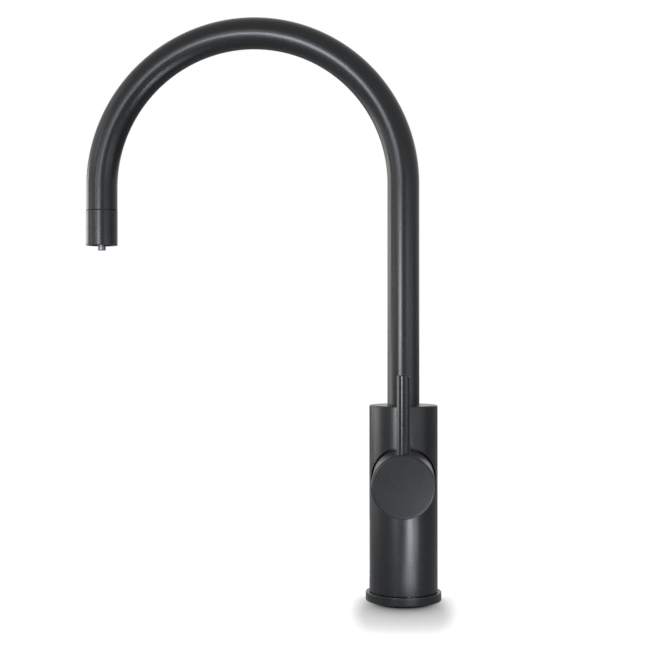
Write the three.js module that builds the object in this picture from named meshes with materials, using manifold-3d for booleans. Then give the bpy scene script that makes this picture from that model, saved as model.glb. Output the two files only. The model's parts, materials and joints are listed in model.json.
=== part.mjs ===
// Boiling water tap with a swivelling arched spout and a side mixer lever.
// Millimetres, +Z up. The origin is the centre of the base on the worktop. The spout points to -X,
// which is the side the user stands at, and the lever is on the -Y side.
import * as THREE from 'three';
import { mergeVertices } from 'three/addons/utils/BufferGeometryUtils.js';
import Module from 'manifold-3d';

const wasm = await Module();
wasm.setup();

// ---------------------------------------------------------------- driving sizes

const clearance = 0.3; // left between pieces that seat on each other

// Column
const bodyDiameter = 48;
const bodyTop = 137.2; // height of the column's top face
const shellWall = 2.5;
const topWall = 3;
const topEdgeChamfer = 0.6;
const flangeOverhang = 2.6; // of the base ring past the column's side
const flangeHeight = 6.3;
const flangeLift = 0.4; // the base ring's metal clears the worktop, its gasket does not
const flangeChamfer = 0.5;
const gasketWidth = 2;
const gasketThickness = 1.5;
const gasketInset = 1; // metal left outside the gasket's groove
const plateThickness = 8;
const facetsRound = 32;
const facetsInner = 20;
const facetsSmall = 12;

// Sockets in the base plate, each with the metal that is left between it and the plate's rim.
// Directions are degrees round from +X, with +Y to the back.
const hoseSocketDiameter = 9.4;
const hoseSocketWall = 1.35;
const coldSocketDirection = 135;
const hotSocketDirection = 45;
const boilingSocketWall = 2.2;
const studSocketDiameter = 6.8;
const studSocketWall = 3.2;
const studSocketDirection = 25; // below the X axis, on both sides
const cablePortDiameter = 6;
const cablePortWall = 3.4;
const cableBore = 3.4;
const baseScrewDiameter = 3;
const baseScrewHeadDiameter = 5.6;
const baseScrewHeadHeight = 2;
const baseScrewLength = 15;
const baseScrewWall = 1.6;
const baseScrewDirection = 9; // above the X axis, on both sides

// Waterways in the brass core
const waterwayDiameter = 5;
const mixedWayDiameter = 3.8;
const mixedWayWall = 1.5; // between the mixed water's riser and the cartridge's pocket
const boilingCrossHeight = 24;

// Touch control in the front of the column
const panelWidth = 14;
const panelLow = 15;
const panelHigh = 59;
const panelCornerRadius = 4;
const panelRecess = 0.05;
const boardThickness = 1.6;
const boardWidth = 13;
const boardMargin = 1.5; // panel that stands past the board at each end
const boardSetback = 3.5; // from the shell's bore to the board's back
const guideWidth = 6;
const guideHeight = 12;
const guideLow = 18.5;

// Spout
const tubeDiameter = 22.5;
const tubeWall = 1;
const archRadius = 108.9;
const archCentreHeight = 292.8;
const outletStraight = 16.7; // straight tube between the arch and the outlet collar's seam
const restSwing = 2.9; // degrees that the spout stands off the column's front
const swingEachWay = 90;
const archSteps = 24;
const boilingSteps = 14;
const tubeFacets = 24;
const boreFacets = 16;

// Spout bearing
const topGap = 0.45; // shadow gap round the tube at the column's top
const bearingWall = 4;
const bearingHeight = 5;
const shoulderDepth = 2; // of the ferrule's shoulder below the core's top
const shoulderHeight = 6;
const lugReach = 2.3; // of the stop lug past the tube's outside
const stopScrewDiameter = 3.8;
const stopMargin = 1.5; // degrees
const thrustThickness = 1.2;
const spigotInset = 2.15; // from the tube's bore to the ferrule's spigot
const spigotLength = 12;
const plugLength = 9;
const grooveDepth = 1.3;
const grooveHeight = 2.2;
const lowerGrooveRise = 2.6; // of a groove's middle above the spigot's end
const upperGrooveRise = 7.6;
const ferruleWayDiameter = 2.2;
const ferruleWayCount = 6;

// Boiling line inside the spout
const boilingTubeDiameter = 5;
const boilingTubeWall = 0.7;
const boilingTubeDip = 6; // below the ferrule's spigot, into the core
const boilingSealSection = 1.2;

// Outlet
const collarLength = 25.2;
const collarProud = 0.15; // past the tube's outside
const collarSeam = 0.4;
const collarLip = 1.3;
const collarLipWidth = 1.3;
const collarChamfer = 0.4;
const fittingWall = 1.5;
const fittingDepth = 12; // into the tube
const aeratorHeight = 8;
const aeratorRim = 1.2;
const aeratorWeb = 0.8;
const aeratorCells = 10; // in each of the two rows
const outletWasherThickness = 1.4;
const outletWasherWidth = 1.7;
const nozzleDiameter = 5.7;
const nozzleBore = 3.8;
const nozzleProud = 3.5; // below the collar
const nozzleStand = 1.5; // above the aerator
const nozzleStemDiameter = 3;
const nozzleStemBore = 1.6;
const nozzleStemLength = 5;

// Mixer
const mixerHeight = 87.2;
const pocketDepth = 14.2; // of the cartridge's pocket, from the column's side
const sealThickness = 1.2;
const sealRingWidth = 1.2;
const cartridgeBaseThickness = 4;
const fixedDiscThickness = 3.2;
const movingDiscThickness = 4.2;
const discCarrierThickness = 4.2;
const turnCarrierThickness = 6.9;
const housingTopWall = 3;
const nutThickness = 5;
const housingDiameter = 35;
const housingWall = 2.7;
const housingMouthDiameter = 18;
const fixedDiscDiameter = 28;
const movingDiscDiameter = 19.6;
const discCarrierDiameter = 18.8;
const discCarrierFlats = 16;
const guideRailWidth = 2.5;
const portDiameter = 5.2;
const portCircle = 8.2;
const portSpread = 128; // degrees from the mixed water's port to the cold and the hot one
const mixingChamberDiameter = 11;
const mixingChamberDepth = 2;
const driveLugDiameter = 2.4;
const driveLugHeight = 1.4;
const driveLugOffset = 6.4;
const nutAcrossFlats = 21;

// Lever
const bossDiameter = 42.5;
const bossWall = 3.25;
const rootGrooveWidth = 1.2; // of the shadow groove round the barrel, in the column's side
const rootGrooveDepth = 1.5;
const barrelReach = 30; // from the column's side to the knob's rear rim
const knobLength = 16;
const faceChamfer = 1;
const ballGap = 0.4; // between the fixed dome and the knob's hollow back
const domeWall = 1.8;
const domeSkirtWall = 1.5;
const tiltRange = 20; // degrees
const turnEachWay = 45;
const slotMargin = 0.5;
const spindleDiameter = 8;
const spindleHubDiameter = 6.8;
const spindleStemDiameter = 2.2;
const spindleBallDiameter = 3.8;
const spindleFlatDepth = 0.6;
const spindleFlatLength = 5;
const pivotPinDiameter = 3;
const pivotPinLength = 24;
const faceWall = 1.7; // metal between the spindle's socket and the knob's face
const knobScrewDiameter = 4;
const knobScrewLength = 8;
const knobScrewSetback = 4.4; // from the knob's face
const leverPinDiameter = 8.8;
const leverPinRise = 51.35; // above the knob
const leverPinSetback = 7; // from the knob's face
const leverPinSink = 4.4;
const leverSpigotDiameter = 4.8;
const leverSpigotLength = 3.8;
const leverPinChamfer = 0.4;

// ---------------------------------------------------------------- finishes

const finish = (color, roughness, metalness) => () =>
  new THREE.MeshStandardMaterial({ color, roughness, metalness });

const satinBlack = finish(0x2b2c2e, 0.42, 0.6);
const darkPanel = finish(0x1c1d1f, 0.25, 0.1);
const brass = finish(0xb08d4c, 0.35, 1);
const steel = finish(0x9fa2a4, 0.3, 1);
const blackRubber = finish(0x161616, 0.85, 0);
const whiteBearing = finish(0xd9d8d2, 0.5, 0);
const greyPlastic = finish(0x5a5d60, 0.5, 0);
const clearPlastic = finish(0xdfe6ea, 0.15, 0);
const boardGreen = finish(0x1f5b3a, 0.5, 0);
const whiteCeramic = finish(0xe9e6df, 0.25, 0);

// ---------------------------------------------------------------- shape tools

const radians = THREE.MathUtils.degToRad;
const quarterTurn = Math.PI / 2;

// Welds a geometry's corners, drops what has no area and turns its faces outwards.
function solidOf(geometry) {
  const bare = geometry.clone();
  bare.deleteAttribute('normal');
  bare.deleteAttribute('uv');
  const welded = mergeVertices(bare, 1e-4);
  const corners = welded.index.array;
  const place = welded.attributes.position;
  const kept = [];
  const [a, b, c] = [new THREE.Vector3(), new THREE.Vector3(), new THREE.Vector3()];
  let sixVolumes = 0;
  for (let i = 0; i < corners.length; i += 3) {
    const [p, q, r] = [corners[i], corners[i + 1], corners[i + 2]];
    if (p === q || q === r || r === p) continue;
    kept.push(p, q, r);
    a.fromBufferAttribute(place, p);
    b.fromBufferAttribute(place, q);
    c.fromBufferAttribute(place, r);
    sixVolumes += a.dot(b.cross(c));
  }
  if (sixVolumes < 0) kept.reverse();
  const vertProperties = new Float32Array(place.array);
  const triVerts = new Uint32Array(kept);
  return new wasm.Manifold(new wasm.Mesh({ numProp: 3, vertProperties, triVerts }));
}

const asSolid = (shape) => (shape.isBufferGeometry ? solidOf(shape) : shape);
const cut = (base, tools) => tools.reduce((left, tool) => left.subtract(asSolid(tool)), asSolid(base));
const join = ([first, ...rest]) => rest.reduce((sum, piece) => sum.add(asSolid(piece)), asSolid(first));
const overlapOf = (first, second) => asSolid(first).intersect(asSolid(second));

function geometryOf(shape) {
  const { vertProperties, triVerts } = asSolid(shape).getMesh();
  const geometry = new THREE.BufferGeometry();
  geometry.setAttribute('position', new THREE.BufferAttribute(new Float32Array(vertProperties), 3));
  geometry.setIndex(new THREE.BufferAttribute(new Uint32Array(triVerts), 1));
  geometry.computeVertexNormals();
  return geometry;
}

function addPiece(group, name, shape, material) {
  const mesh = new THREE.Mesh(geometryOf(shape), material());
  mesh.name = name;
  group.add(mesh);
}

// Turned about Z through [radius, height] corners. A profile off the axis closes on itself.
function turned(profile, facets) {
  const points = profile.map(([radius, height]) => new THREE.Vector2(radius, height));
  if (points[0].x > 0) points.push(points[0].clone());
  return new THREE.LatheGeometry(points, facets).rotateX(quarterTurn);
}

const rod = (radius, low, high, facets = facetsSmall) =>
  turned([[0, low], [radius, low], [radius, high], [0, high]], facets);

const ring = (inner, outer, low, high, facets = facetsInner) =>
  turned([[inner, low], [outer, low], [outer, high], [inner, high]], facets);

// A ring of round section, standing at one height about Z.
const roundRing = (middleRadius, sectionRadius, height) =>
  new THREE.TorusGeometry(middleRadius, sectionRadius, 5, facetsInner).translate(0, 0, height);

const block = (xLow, xHigh, yLow, yHigh, zLow, zHigh) =>
  new THREE.BoxGeometry(xHigh - xLow, yHigh - yLow, zHigh - zLow)
    .translate((xLow + xHigh) / 2, (yLow + yHigh) / 2, (zLow + zHigh) / 2);

// A full circle in the outline gets twice as many sides as curveSegments says.
const extruded = (shape, low, high, curveSegments = 12) =>
  new THREE.ExtrudeGeometry(shape, { depth: high - low, bevelEnabled: false, curveSegments })
    .translate(0, 0, low);

const roundShape = (radius) => new THREE.Shape().absarc(0, 0, radius, 0, 2 * Math.PI, false);

// ---------------------------------------------------------------- sizes worked out

const bodyRadius = bodyDiameter / 2;
const shellBore = bodyRadius - shellWall;
const coreRadius = shellBore - clearance;
const plateRadius = shellBore - 2 * clearance;
const flangeRadius = bodyRadius + flangeOverhang;
const flangeBore = plateRadius + clearance;
const boardDepth = shellBore - boardSetback;

const tubeRadius = tubeDiameter / 2;
const tubeBore = tubeRadius - tubeWall;
const lugRadius = tubeRadius + lugReach;
const spigotRadius = tubeBore - spigotInset;
const socketRadius = spigotRadius + clearance;
const boilingRadius = boilingTubeDiameter / 2;
const boilingBore = boilingRadius - boilingTubeWall;
const boilingWay = boilingRadius + clearance;

const topWallUnderside = bodyTop - topWall;
const bearingTop = topWallUnderside - clearance;
const bearingBottom = bearingTop - bearingHeight;
const bearingInner = tubeRadius + clearance;
const bearingOuter = bearingInner + bearingWall;
const coreTop = bearingBottom - clearance;
const shoulderTop = coreTop - shoulderDepth;
const shoulderBottom = shoulderTop - shoulderHeight;
const tubeFoot = shoulderTop + clearance;
const thrustTop = shoulderBottom - clearance;
const counterboreFloor = thrustTop - thrustThickness - clearance;
const spigotEnd = shoulderBottom - spigotLength;
const socketFloor = spigotEnd - clearance;
const boilingFoot = socketFloor - boilingTubeDip;
const coreFoot = plateThickness + clearance;

const seamHeight = archCentreHeight - outletStraight;
const outletBottom = seamHeight - collarLength;
const aeratorBottom = outletBottom + collarLip + clearance;
const aeratorTop = aeratorBottom + aeratorHeight;
const washerBottom = aeratorTop + clearance;
const washerTop = washerBottom + outletWasherThickness;
const fittingRadius = tubeBore - clearance;
const collarBore = fittingRadius + clearance;
const nozzleTop = aeratorTop + nozzleStand;

// Along the mixer's axis, measured outwards from the column's axis.
const pocketFloor = bodyRadius - pocketDepth;
const seamDistance = bodyRadius + barrelReach;
const faceDistance = seamDistance + knobLength;
const mixedWayFront = pocketFloor - mixedWayWall - mixedWayDiameter / 2;
const sealLow = pocketFloor + clearance;
const cartridgeBaseLow = sealLow + sealThickness + clearance;
const fixedDiscLow = cartridgeBaseLow + cartridgeBaseThickness + clearance;
const movingDiscLow = fixedDiscLow + fixedDiscThickness + clearance;
const discCarrierLow = movingDiscLow + movingDiscThickness + clearance;
const turnCarrierLow = discCarrierLow + discCarrierThickness + clearance;
const turnCarrierHigh = turnCarrierLow + turnCarrierThickness;
const housingHigh = turnCarrierHigh + clearance + housingTopWall;
const nutLow = housingHigh + clearance;
const nutHigh = nutLow + nutThickness;
const housingRadius = housingDiameter / 2;
const housingBore = housingRadius - housingWall;
const pocketRadius = housingRadius + clearance;

const pivot = (turnCarrierLow + turnCarrierHigh) / 2;
const ballPlace = discCarrierLow + spindleBallDiameter / 2;
const bossRadius = bossDiameter / 2;
const bossBore = bossRadius - bossWall;
const knobHollow = Math.hypot(seamDistance - pivot, bossRadius);
const domeRadius = knobHollow - ballGap;
const spindleRadius = spindleDiameter / 2;
const spindleEnd = faceDistance - faceWall - clearance;
const leverPinPlace = faceDistance - leverPinSetback;
const knobScrewPlace = faceDistance - knobScrewSetback;

// A corner on a ball about the lever's pivot, at a radius from the mixer's axis.
const onBall = (ballRadius, radius) => [radius, pivot + Math.sqrt(ballRadius ** 2 - radius ** 2)];

const arcOnBall = (ballRadius, from, to, steps) =>
  Array.from({ length: steps + 1 }, (_, i) => onBall(ballRadius, from + ((to - from) * i) / steps));

// ---------------------------------------------------------------- base

// Where a hole of one diameter lies, in one direction, with the rim left outside it.
function socketPlace(direction, rim, diameter) {
  const offset = plateRadius - rim - diameter / 2;
  return [offset * Math.cos(radians(direction)), offset * Math.sin(radians(direction))];
}

const baseScrewHole = baseScrewHeadDiameter + 2 * clearance;
const hoseSockets = {
  cold: socketPlace(coldSocketDirection, hoseSocketWall, hoseSocketDiameter),
  hot: socketPlace(hotSocketDirection, hoseSocketWall, hoseSocketDiameter),
  boiling: socketPlace(90, boilingSocketWall, hoseSocketDiameter),
};
const studSockets = [180 + studSocketDirection, -studSocketDirection]
  .map((direction) => socketPlace(direction, studSocketWall, studSocketDiameter));
const cablePort = socketPlace(-90, cablePortWall, cablePortDiameter);
const baseScrews = {
  left: socketPlace(180 - baseScrewDirection, baseScrewWall, baseScrewHole),
  right: socketPlace(baseScrewDirection, baseScrewWall, baseScrewHole),
};

const upright = ([x, y], radius, low, high, facets = facetsSmall) =>
  rod(radius, low, high, facets).translate(x, y, 0);

// Plate that closes the column, with the hose sockets and stud sockets round a solid middle.
function basePlate() {
  const past = 1;
  const through = (place, radius) => upright(place, radius, -past, plateThickness + past);
  const screwHead = (place) =>
    upright(place, baseScrewHole / 2, -past, baseScrewHeadHeight + 2 * clearance);
  return cut(rod(plateRadius, 0, plateThickness, facetsRound), [
    ...Object.values(hoseSockets).map((place) => through(place, hoseSocketDiameter / 2)),
    ...studSockets.map((place) => through(place, studSocketDiameter / 2)),
    through(cablePort, cablePortDiameter / 2),
    ...Object.values(baseScrews).map((place) => through(place, baseScrewDiameter / 2 + clearance)),
    ...Object.values(baseScrews).map(screwHead),
  ]);
}

// Sleeve for the control cable, inside the plate's port.
const cableGrommet = () =>
  ring(cableBore / 2, cablePortDiameter / 2 - clearance, clearance, plateThickness, 16)
    .translate(...cablePort, 0);

function baseScrew(place) {
  const headTop = clearance + baseScrewHeadHeight;
  const head = upright(place, baseScrewHeadDiameter / 2, clearance, headTop);
  const shank = upright(place, baseScrewDiameter / 2, clearance, baseScrewLength);
  const keySocketTop = headTop - baseScrewHeadHeight / 2;
  const keySocket = upright(place, baseScrewDiameter / 2 - clearance, 0, keySocketTop, 6);
  return cut(join([head, shank]), [keySocket]);
}

// The wide ring under the column, grooved below for its gasket.
function baseFlange() {
  const grooveOuter = flangeRadius - gasketInset;
  const grooveInner = grooveOuter - gasketWidth - 2 * clearance;
  const grooveTop = gasketThickness + clearance;
  return turned([
    [flangeBore, flangeLift],
    [grooveInner, flangeLift],
    [grooveInner, grooveTop],
    [grooveOuter, grooveTop],
    [grooveOuter, flangeLift],
    [flangeRadius - flangeChamfer, flangeLift],
    [flangeRadius, flangeLift + flangeChamfer],
    [flangeRadius, flangeHeight - flangeChamfer],
    [flangeRadius - flangeChamfer, flangeHeight],
    [flangeBore, flangeHeight],
  ], facetsRound);
}

function baseGasket() {
  const outer = flangeRadius - gasketInset - clearance;
  return ring(outer - gasketWidth, outer, 0, gasketThickness, facetsRound);
}

// ---------------------------------------------------------------- column

// From the mixer's frame, where +Z points outwards and +Y up, to the column's frame.
const mixerPlaced = (geometry) => geometry.rotateX(quarterTurn).translate(0, 0, mixerHeight);

const panelWindow = (margin) => {
  const half = panelWidth / 2 + margin;
  const [low, high] = [panelLow - margin, panelHigh + margin];
  const corner = panelCornerRadius + margin;
  const outline = new THREE.Shape()
    .absarc(half - corner, high - corner, corner, 0, quarterTurn, false)
    .absarc(corner - half, high - corner, corner, quarterTurn, 2 * quarterTurn, false)
    .absarc(corner - half, low + corner, corner, 2 * quarterTurn, 3 * quarterTurn, false)
    .absarc(half - corner, low + corner, corner, 3 * quarterTurn, 4 * quarterTurn, false);
  return extruded(outline, shellBore / 2, bodyRadius + shellWall, 4)
    .rotateX(quarterTurn).rotateZ(-quarterTurn);
};

// Cup over the core, open below, with the tube's hole, the lever's hole, the panel's window and a
// shadow groove round the barrel's root.
function bodyShell() {
  const foot = flangeHeight + clearance;
  const bearingSeat = bearingOuter + clearance;
  const cup = turned([
    [bodyRadius, foot],
    [bodyRadius, bodyTop - topEdgeChamfer],
    [bodyRadius - topEdgeChamfer, bodyTop],
    [tubeRadius + topGap, bodyTop],
    [tubeRadius + topGap, topWallUnderside],
    [bearingSeat, topWallUnderside],
    [bearingSeat, bearingBottom],
    [shellBore, bearingBottom],
    [shellBore, foot],
  ], facetsRound);
  const leverHole = mixerPlaced(rod(pocketRadius + clearance, 0, bodyDiameter, facetsInner));
  const rootRing = mixerPlaced(ring(bossRadius, bossRadius + rootGrooveWidth, 0, bodyDiameter, facetsRound));
  const grooveFloor = rod(bodyRadius - rootGrooveDepth, 0, bodyTop, facetsRound);
  return cut(cup, [leverHole, cut(rootRing, [grooveFloor]), panelWindow(0)]);
}

// Brass core: spout socket above, cartridge pocket at the side and waterways between them.
function waterCore() {
  const [hotX, hotY] = hoseSockets.hot;
  const boilingBack = hoseSockets.boiling[1];
  const way = waterwayDiameter / 2;
  const portHeight = mixerHeight - portCircle * Math.cos(radians(180 - portSpread));
  const portSide = portCircle * Math.sin(radians(portSpread));
  const mixedHeight = mixerHeight + portCircle;
  const below = coreFoot - 1;
  const fromFront = (x, height, radius, reach) =>
    rod(radius, 0, reach).rotateX(quarterTurn).translate(x, reach - pocketFloor - 1, height);
  const supply = (side) => [
    upright([side * hotX, hotY], way, below, portHeight + way),
    fromFront(side * portSide, portHeight, way, pocketFloor + 1 + hotY),
    rod(way, 0, hotX - portSide).rotateY(side * quarterTurn).translate(side * portSide, hotY, portHeight),
  ];
  const mixed = [
    upright([0, -mixedWayFront], mixedWayDiameter / 2, mixedHeight, socketFloor + 1),
    fromFront(0, mixedHeight, mixedWayDiameter / 2, pocketFloor + 1 - mixedWayFront),
  ];
  const boiling = [
    upright([0, 0], boilingWay, boilingCrossHeight, socketFloor + 1),
    upright([0, boilingBack], way, below, boilingCrossHeight),
    rod(way, 0, boilingBack).rotateX(-quarterTurn).translate(0, 0, boilingCrossHeight),
  ];
  const boilingSealSeat = upright(
    [0, 0],
    boilingWay + boilingSealSection + clearance,
    socketFloor - boilingSealSection - 2 * clearance,
    socketFloor + 1,
  );
  const boardSeat = block(
    -bodyDiameter, clearance - boardDepth,
    -boardWidth / 2 - clearance, boardWidth / 2 + clearance,
    panelLow + boardMargin - clearance, panelHigh - boardMargin + clearance,
  );
  const stopHole = rod(stopScrewDiameter / 2 + clearance, tubeRadius, bodyDiameter)
    .rotateY(quarterTurn).translate(0, 0, (shoulderTop + shoulderBottom) / 2);
  const screwHoles = Object.values(baseScrews)
    .map((place) => upright(place, baseScrewDiameter / 2 + clearance, below, baseScrewLength + clearance));
  return cut(rod(coreRadius, coreFoot, coreTop, facetsRound), [
    rod(lugRadius + 2 * clearance, counterboreFloor, bodyTop, facetsInner),
    rod(socketRadius, socketFloor, bodyTop, facetsInner),
    mixerPlaced(rod(pocketRadius, pocketFloor, bodyDiameter, facetsInner)),
    boilingSealSeat,
    boardSeat,
    stopHole,
    ...screwHoles,
    ...supply(-1),
    ...supply(1),
    ...mixed,
    ...boiling,
  ]);
}

const boilingSeal = () =>
  ring(
    boilingRadius + clearance / 2,
    boilingRadius + boilingSealSection,
    socketFloor - boilingSealSection - clearance,
    socketFloor - clearance,
    16,
  );

const bearingRing = () => ring(bearingInner, bearingOuter, bearingBottom, bearingTop);

const thrustWasher = () =>
  ring(socketRadius + clearance, lugRadius, thrustTop - thrustThickness, thrustTop);

// Grub screw through the core's wall. The ferrule's lug runs against it at both ends of the swing.
function stopScrew() {
  const [tip, end] = [tubeRadius + clearance, coreRadius - clearance];
  const middle = (shoulderTop + shoulderBottom) / 2;
  const alongX = (geometry) => geometry.rotateY(quarterTurn).translate(0, 0, middle);
  const shank = alongX(rod(stopScrewDiameter / 2, tip, end));
  const keySocket = alongX(rod(stopScrewDiameter / 4, end - stopScrewDiameter / 2, end + 1, 6));
  return cut(shank, [keySocket]);
}

// ---------------------------------------------------------------- touch control

// Curved window that finishes flush with the column.
function touchPanel() {
  const bent = ring(
    shellBore + clearance / 2, bodyRadius - panelRecess, panelLow - 1, panelHigh + 1, facetsRound,
  );
  return overlapOf(bent, panelWindow(-clearance));
}

const touchBoard = () =>
  block(
    -boardDepth - boardThickness, -boardDepth,
    -boardWidth / 2, boardWidth / 2,
    panelLow + boardMargin, panelHigh - boardMargin,
  );

// Carries light from the board to the marks low on the window.
function lightGuide() {
  const back = boardDepth + boardThickness + clearance;
  const front = Math.sqrt(shellBore ** 2 - (guideWidth / 2) ** 2) - clearance;
  return block(-front, -back, -guideWidth / 2, guideWidth / 2, guideLow, guideLow + guideHeight);
}

// ---------------------------------------------------------------- spout

// Centreline: straight up from foot, round the arch and straight down to end. Its stations are the
// two ends and the arch's steps, so that the straight runs take no faces of their own.
class ArchLine extends THREE.Curve {
  constructor(foot, end, steps) {
    super();
    this.foot = foot;
    this.end = end;
    this.steps = steps;
  }

  station(t) {
    return t * (this.steps + 2) - 1;
  }

  getPoint(t, target = new THREE.Vector3()) {
    const station = this.station(t);
    if (station < 0) {
      return target.set(0, 0, archCentreHeight + (archCentreHeight - this.foot) * station);
    }
    if (station > this.steps) {
      const fall = (archCentreHeight - this.end) * (station - this.steps);
      return target.set(-2 * archRadius, 0, archCentreHeight - fall);
    }
    const angle = (Math.PI * station) / this.steps;
    const x = archRadius * (Math.cos(angle) - 1);
    return target.set(x, 0, archCentreHeight + archRadius * Math.sin(angle));
  }

  getTangent(t, target = new THREE.Vector3()) {
    const angle = (Math.PI * THREE.MathUtils.clamp(this.station(t), 0, this.steps)) / this.steps;
    return target.set(-Math.sin(angle), 0, Math.cos(angle));
  }

  getUtoTmapping(u) {
    return u;
  }
}

// A tube swept along the arch. Outside and bore are swept apart and then cut.
function archTube(outerRadius, boreRadius, foot, end, steps, outerFacets, innerFacets) {
  const sweep = (radius, facets) =>
    new THREE.ExtrudeGeometry(roundShape(radius), {
      steps: steps + 2,
      curveSegments: facets / 2,
      bevelEnabled: false,
      extrudePath: new ArchLine(foot, end, steps),
    });
  const bore = join([
    sweep(boreRadius, innerFacets),
    rod(boreRadius, foot - 1, foot + 1, innerFacets),
    rod(boreRadius, end - 1, end + 1, innerFacets).translate(-2 * archRadius, 0, 0),
  ]);
  return cut(sweep(outerRadius, outerFacets), [bore]);
}

const spoutTube = () =>
  archTube(tubeRadius, tubeBore, tubeFoot, seamHeight + collarSeam / 2, archSteps, tubeFacets, boreFacets);

const boilingTube = () =>
  archTube(boilingRadius, boilingBore, boilingFoot, nozzleTop + clearance, boilingSteps, 8, 6);

const grooveHeights = [spigotEnd + lowerGrooveRise, spigotEnd + upperGrooveRise];

// Foot of the spout: plug in the tube, shoulder with the stop lug, and grooved spigot.
function spoutFerrule() {
  const screwHalfAngle = THREE.MathUtils.radToDeg(Math.asin(stopScrewDiameter / 2 / tubeRadius));
  const lugHalfAngle = radians(180 - swingEachWay - screwHalfAngle - stopMargin);
  const lug = new THREE.Shape()
    .absarc(0, 0, lugRadius, Math.PI - lugHalfAngle, Math.PI + lugHalfAngle, false)
    .absarc(0, 0, spigotRadius, Math.PI + lugHalfAngle, Math.PI - lugHalfAngle, true);
  const grooveFloor = spigotRadius - grooveDepth;
  const groove = (height) =>
    ring(grooveFloor, spigotRadius + 1, height - grooveHeight / 2, height + grooveHeight / 2);
  const plugTop = shoulderTop + plugLength;
  const through = (place, radius, facets) => upright(place, radius, spigotEnd - 1, plugTop + 1, facets);
  const wayCircle = (boilingWay + grooveFloor) / 2;
  const ways = Array.from({ length: ferruleWayCount }, (_, i) => {
    const angle = (2 * Math.PI * i) / ferruleWayCount;
    const place = [wayCircle * Math.cos(angle), wayCircle * Math.sin(angle)];
    return through(place, ferruleWayDiameter / 2, 8);
  });
  return cut(
    join([
      rod(spigotRadius, spigotEnd, shoulderBottom + 1, facetsInner),
      rod(tubeRadius - clearance, shoulderBottom, shoulderTop, facetsInner),
      extruded(lug, shoulderBottom, shoulderTop, 6),
      rod(tubeBore - clearance, shoulderTop - 1, plugTop, boreFacets),
    ]),
    [through([0, 0], boilingWay, facetsSmall), ...grooveHeights.map(groove), ...ways],
  );
}

function ferruleRing(height) {
  const section = (socketRadius - (spigotRadius - grooveDepth) - clearance) / 2;
  return roundRing(socketRadius - clearance / 2 - section, section, height);
}

// ---------------------------------------------------------------- outlet

// Inner sleeve that joins the collar to the tube.
function endFitting() {
  const [low, high] = [washerTop + clearance, seamHeight + fittingDepth];
  return ring(fittingRadius - fittingWall, fittingRadius, low, high, boreFacets);
}

// Sleeve at the end of the spout. A lip below holds the aerator.
function outletCollar() {
  const outer = tubeRadius + collarProud;
  const top = seamHeight - collarSeam / 2;
  const lipRadius = collarBore - collarLipWidth;
  return turned([
    [collarBore, top],
    [collarBore, outletBottom + collarLip],
    [lipRadius, outletBottom + collarLip],
    [lipRadius, outletBottom],
    [outer - collarChamfer, outletBottom],
    [outer, outletBottom + collarChamfer],
    [outer, top - collarChamfer / 2],
    [outer - collarChamfer / 2, top],
  ], tubeFacets);
}

const outletWasher = () =>
  ring(collarBore - clearance - outletWasherWidth, collarBore - clearance, washerBottom, washerTop);

// Flow straightener: two rows of cells round the boiling nozzle.
function aeratorBody() {
  const outer = collarBore - clearance;
  const hub = nozzleDiameter / 2 + clearance;
  const [cellsIn, cellsOut] = [hub + aeratorWeb, outer - aeratorRim];
  const rowDepth = (cellsOut - cellsIn - aeratorWeb) / 2;
  const disc = roundShape(outer);
  disc.holes.push(new THREE.Path().absarc(0, 0, hub, 0, 2 * Math.PI, true));
  for (const inner of [cellsIn, cellsIn + rowDepth + aeratorWeb]) {
    for (let i = 0; i < aeratorCells; i += 1) {
      const middle = (2 * Math.PI * i) / aeratorCells;
      const halfAngle = (radius) => Math.PI / aeratorCells - aeratorWeb / 2 / radius;
      const corner = (radius, side) => {
        const angle = middle + side * halfAngle(radius);
        return new THREE.Vector2(radius * Math.cos(angle), radius * Math.sin(angle));
      };
      const far = inner + rowDepth;
      disc.holes.push(new THREE.Path([corner(inner, -1), corner(inner, 1), corner(far, 1), corner(far, -1)]));
    }
  }
  return extruded(disc, aeratorBottom, aeratorTop);
}

// Metal tip of the boiling line, with a stem inside the tube's end.
function boilingNozzle() {
  const tip = outletBottom - nozzleProud;
  return turned([
    [nozzleBore / 2, tip],
    [nozzleDiameter / 2, tip],
    [nozzleDiameter / 2, nozzleTop],
    [nozzleStemDiameter / 2, nozzleTop],
    [nozzleStemDiameter / 2, nozzleTop + nozzleStemLength],
    [nozzleStemBore / 2, nozzleTop + nozzleStemLength],
    [nozzleStemBore / 2, aeratorTop - nozzleStand],
    [nozzleBore / 2, aeratorTop - nozzleStand],
  ], 16);
}

// ---------------------------------------------------------------- cartridge (mixer's frame)

const portAngles = [0, portSpread, -portSpread].map((turn) => radians(90 + turn));
const portPlaces = portAngles.map((angle) => [portCircle * Math.cos(angle), portCircle * Math.sin(angle)]);

// Three seal rings joined by one bridge plate.
function portSeal() {
  const high = sealLow + sealThickness;
  const bridge = new THREE.Shape(portPlaces.map(([x, y]) => new THREE.Vector2(x, y)));
  const lobes = portPlaces.map((place) => upright(place, portDiameter / 2 + sealRingWidth, sealLow, high));
  return cut(
    join([extruded(bridge, sealLow, high), ...lobes]),
    portPlaces.map((place) => upright(place, portDiameter / 2, sealLow - 1, high + 1)),
  );
}

function cartridgeBase() {
  const high = cartridgeBaseLow + cartridgeBaseThickness;
  return cut(
    rod(housingRadius, cartridgeBaseLow, high, facetsInner),
    portPlaces.map((place) => upright(place, portDiameter / 2, cartridgeBaseLow - 1, high + 1)),
  );
}

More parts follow.
